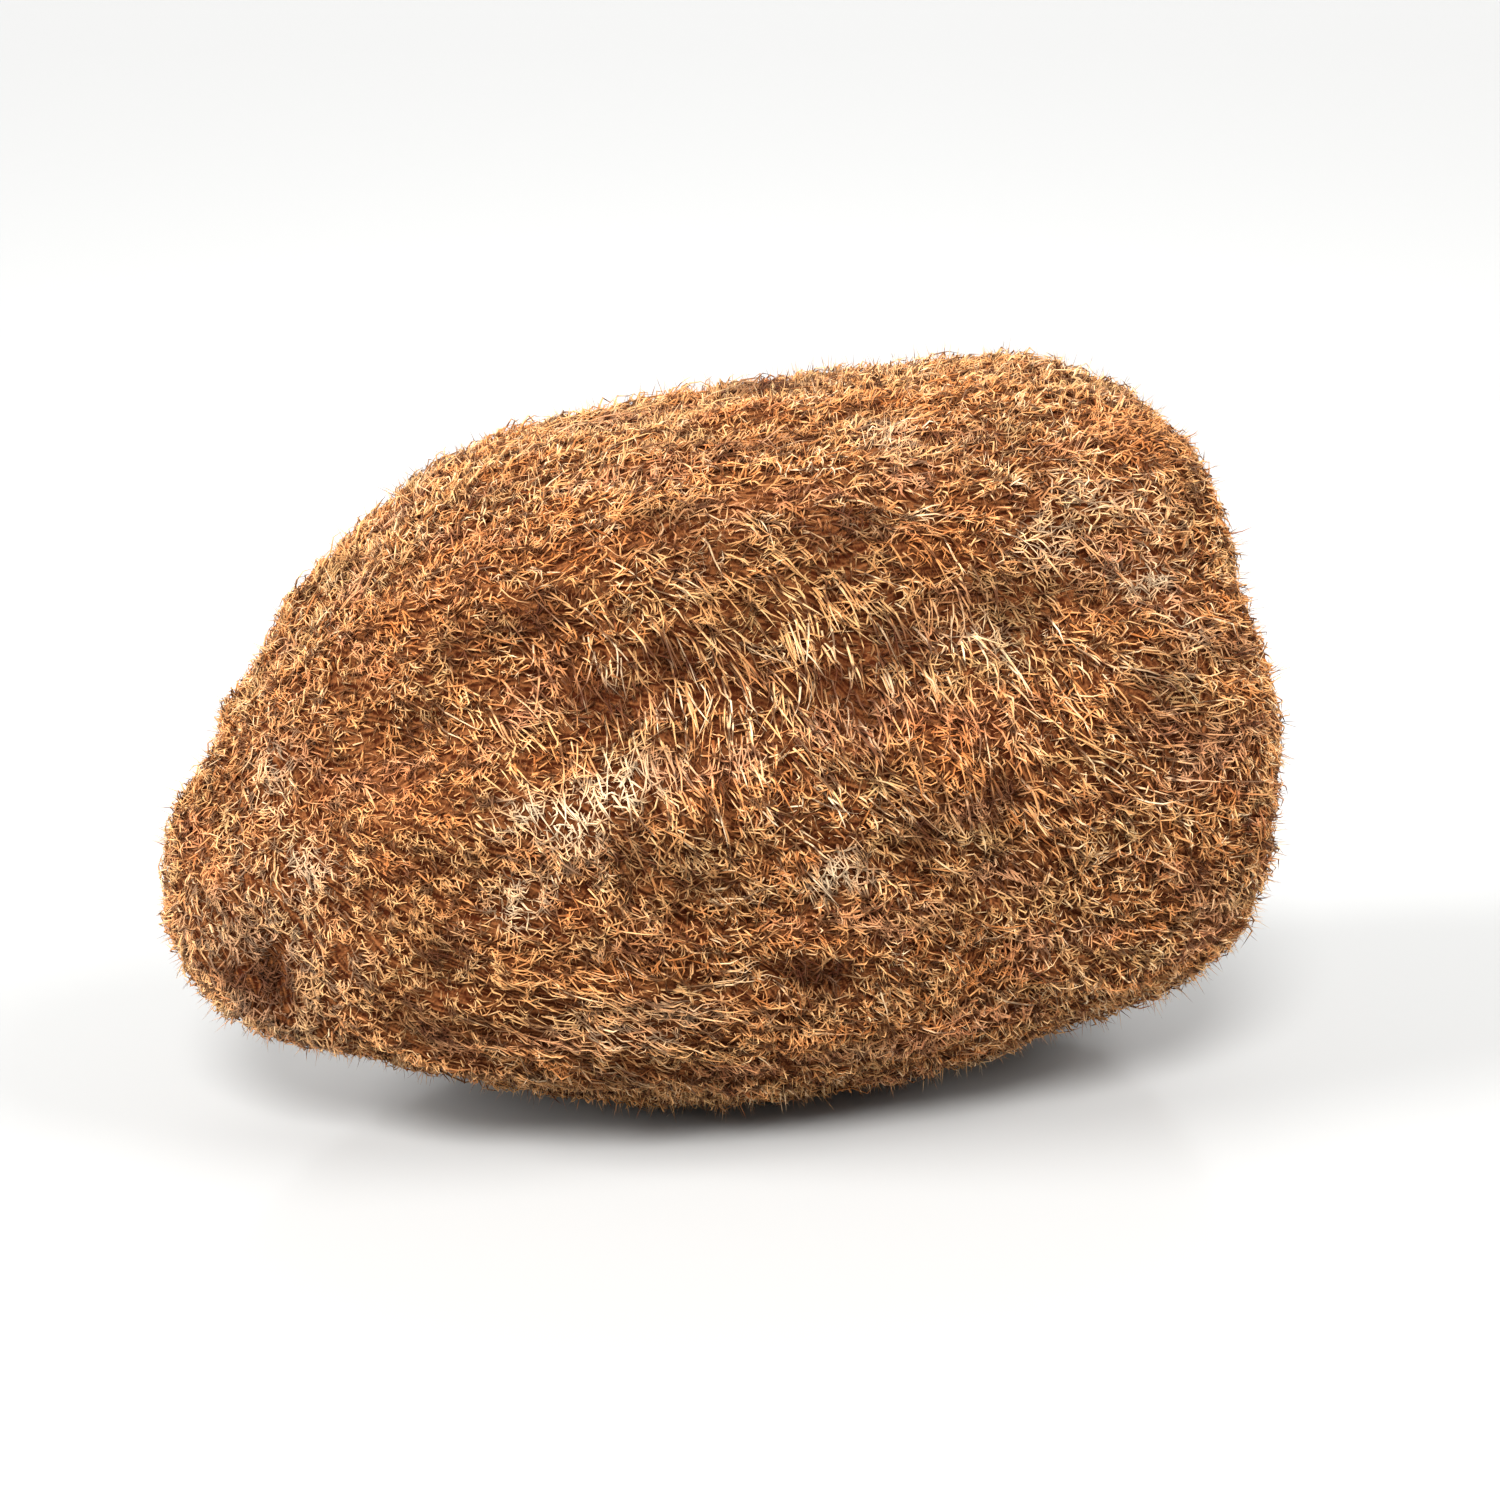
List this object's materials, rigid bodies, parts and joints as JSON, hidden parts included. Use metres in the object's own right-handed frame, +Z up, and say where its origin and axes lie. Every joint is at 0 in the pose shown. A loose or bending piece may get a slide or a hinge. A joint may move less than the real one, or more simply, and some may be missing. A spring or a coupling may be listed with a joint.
{
  "type": "coconut",
  "caption": "Mature coconut with its matted coir left on, lying on its side: blunt nose, broad flat butt, long low ridges and locks of stiff fibre; rests on a small flat spot.",
  "frame": {"origin": "middle of the flat spot that the nut rests on, below its centre of mass", "axes": "+X along the nut from its nose towards its butt, +Z up from the surface it rests on, -Y towards the flank that the picture shows"},
  "size_m": [0.1523, 0.1005, 0.0996],
  "materials": {
    "coir": "matted dry brown coir fibre, matt"
  },
  "bodies": {
    "root": {"coconut": "coir"}
  },
  "joints": []
}
